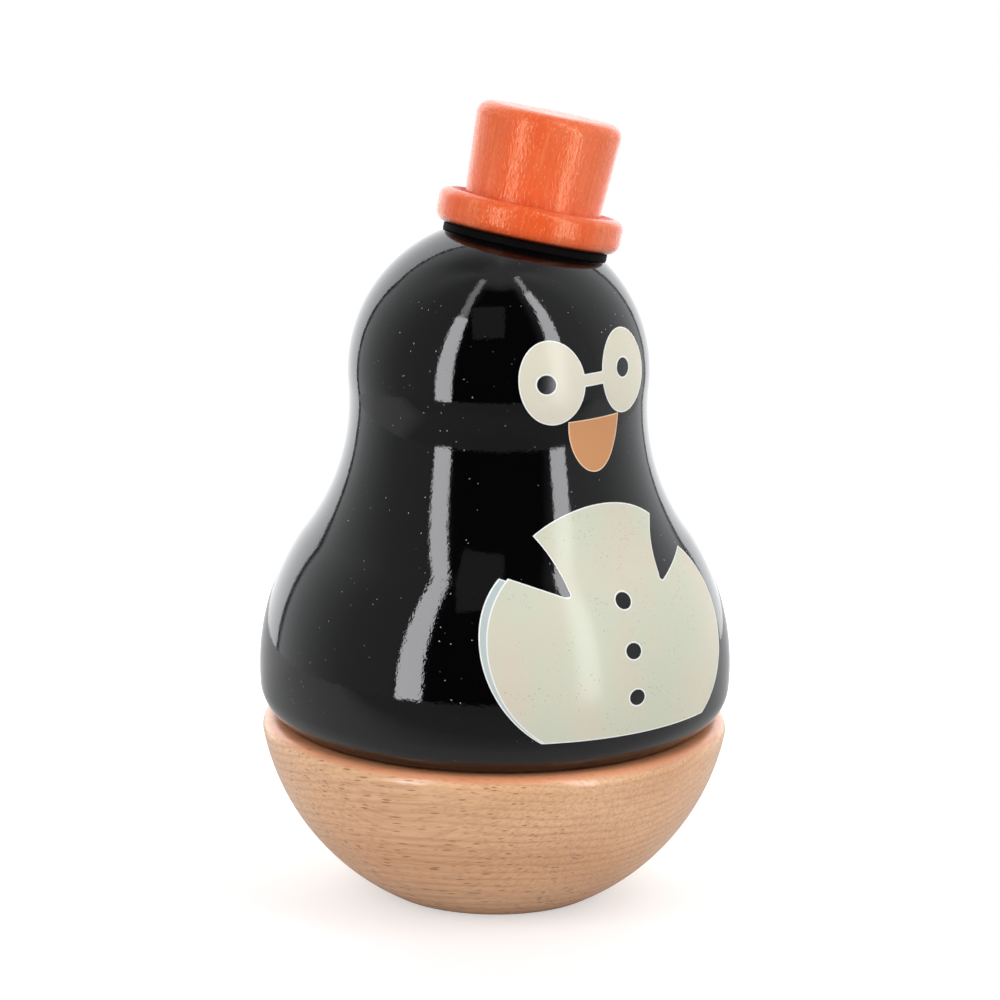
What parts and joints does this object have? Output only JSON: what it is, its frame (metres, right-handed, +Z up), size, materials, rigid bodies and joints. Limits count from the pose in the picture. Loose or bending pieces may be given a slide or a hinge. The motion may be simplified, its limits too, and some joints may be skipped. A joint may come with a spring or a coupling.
{
  "type": "wooden music box",
  "caption": "Turned wooden penguin in a tilted tall hat on a round-bottomed beech base; twisting the figure winds a comb-and-cylinder musical movement inside.",
  "frame": {"origin": "centre of the foot, on the surface that the music box stands on", "axes": "+Z up along the axis that the penguin turns on; the penguin faces -Y"},
  "size_m": [0.091, 0.091, 0.1556],
  "materials": {
    "beech": "clear satin oil on beech",
    "black_lacquer": "black gloss lacquer on turned wood",
    "orange_stain": "orange stain, satin, grain showing",
    "plywood": "bare birch plywood",
    "felt": "pressed felt",
    "zinc": "zinc die casting",
    "brass": "turned brass",
    "steel": "bright steel",
    "nylon": "natural nylon"
  },
  "bodies": {
    "base": {"base_bowl": "beech", "glide_washer": "felt", "bedplate": "zinc", "bedplate_screws": "steel", "spring_housing": "brass", "spring_cover": "brass", "mainspring": "steel", "comb": "steel", "comb_screws": "steel", "governor_frame": "brass", "governor_screws": "steel"},
    "drive": {"drive_wheel": "brass", "clutch_spring": "steel"},
    "penguin": {"penguin_body": "black_lacquer", "seat_disc": "black_lacquer", "top_hat": "orange_stain", "hat_dowel": "beech", "driver_disc": "plywood", "driver_screws": "steel", "threaded_bush": "brass", "winding_arbor": "steel"},
    "cylinder": {"pinned_cylinder": "brass", "cylinder_arbor": "steel", "cylinder_pinion": "steel", "cylinder_wheel": "brass"},
    "governor": {"governor_arbor": "steel", "governor_pinion": "steel", "worm_wheel": "nylon"},
    "fly": {"governor_worm": "steel", "fly_arbor": "steel", "air_brake": "nylon"}
  },
  "joints": [
    {"name": "play_turn", "type": "hinge", "parent": "base", "child": "drive", "pos_m": [0, 0, 0.02725], "axis": [0, 0, 1], "continuous": true},
    {"name": "wind_turn", "type": "hinge", "parent": "drive", "child": "penguin", "pos_m": [0, 0, 0.02725], "axis": [0, 0, 1], "range_deg": [-1530, 0]},
    {"name": "cylinder_spin", "type": "hinge", "parent": "base", "child": "cylinder", "pos_m": [0, 0, 0.02725], "axis": [1, 0, 0], "continuous": true},
    {"name": "governor_spin", "type": "hinge", "parent": "base", "child": "governor", "pos_m": [0, -0.0105, 0.02725], "axis": [1, 0, 0], "continuous": true},
    {"name": "fly_spin", "type": "hinge", "parent": "base", "child": "fly", "pos_m": [0.02343, -0.0146, 0.02725], "axis": [0, 0, 1], "continuous": true}
  ],
  "couplings": [
    {"joint": "cylinder_spin", "follows": "play_turn", "ratio": -2.5},
    {"joint": "governor_spin", "follows": "play_turn", "ratio": 10},
    {"joint": "fly_spin", "follows": "play_turn", "ratio": 140}
  ]
}
